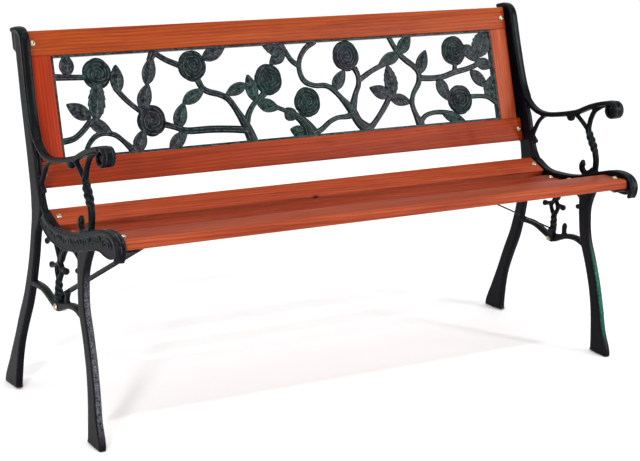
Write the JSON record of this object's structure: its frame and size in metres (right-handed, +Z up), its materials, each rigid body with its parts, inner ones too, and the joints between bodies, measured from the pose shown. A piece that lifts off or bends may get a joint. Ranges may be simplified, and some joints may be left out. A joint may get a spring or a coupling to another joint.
{
  "type": "garden bench",
  "caption": "Garden bench with ornamental cast iron end frames, a slatted wooden seat and a wooden backrest framing a cast panel of roses and leaves.",
  "frame": {"origin": "On the ground under the middle of the bench: the centre of the bounding box at the height of the feet.", "axes": "+X runs along the bench to the sitter's left as seen from the front, that is to the right in a front view. +Y runs back towards the backrest. +Z is up. The seat opens towards -Y."},
  "size_m": [1.257, 0.4944, 0.7295],
  "materials": {
    "casting": "black paint worn to a green and violet patina",
    "timber": "varnished red-orange hardwood, straight grain",
    "fasteners": "bright zinc-plated steel",
    "straps": "dark painted flat steel bar"
  },
  "bodies": {
    "root": {"back_bolt_left_bottom": "fasteners", "back_bolt_left_top": "fasteners", "back_bolt_right_bottom": "fasteners", "back_bolt_right_top": "fasteners", "back_nut_left_bottom": "fasteners", "back_nut_left_top": "fasteners", "back_nut_right_bottom": "fasteners", "back_nut_right_top": "fasteners", "backrest_bottom_rail": "timber", "backrest_left_stile": "timber", "backrest_right_stile": "timber", "backrest_top_rail": "timber", "brace_bolt_left": "fasteners", "brace_bolt_right": "fasteners", "brace_nut_left": "fasteners", "brace_nut_right": "fasteners", "brace_screw_left": "fasteners", "brace_screw_right": "fasteners", "left_brace": "straps", "left_side_frame": "casting", "right_brace": "straps", "right_side_frame": "casting", "rose_panel": "casting", "seat_bolt_left_2": "fasteners", "seat_bolt_left_3": "fasteners", "seat_bolt_left_4": "fasteners", "seat_bolt_left_back": "fasteners", "seat_bolt_left_front": "fasteners", "seat_bolt_right_2": "fasteners", "seat_bolt_right_3": "fasteners", "seat_bolt_right_4": "fasteners", "seat_bolt_right_back": "fasteners", "seat_bolt_right_front": "fasteners", "seat_nut_left_2": "fasteners", "seat_nut_left_3": "fasteners", "seat_nut_left_4": "fasteners", "seat_nut_left_back": "fasteners", "seat_nut_left_front": "fasteners", "seat_nut_right_2": "fasteners", "seat_nut_right_3": "fasteners", "seat_nut_right_4": "fasteners", "seat_nut_right_back": "fasteners", "seat_nut_right_front": "fasteners", "seat_slat_2": "timber", "seat_slat_3": "timber", "seat_slat_4": "timber", "seat_slat_back": "timber", "seat_slat_front": "timber"}
  },
  "joints": []
}
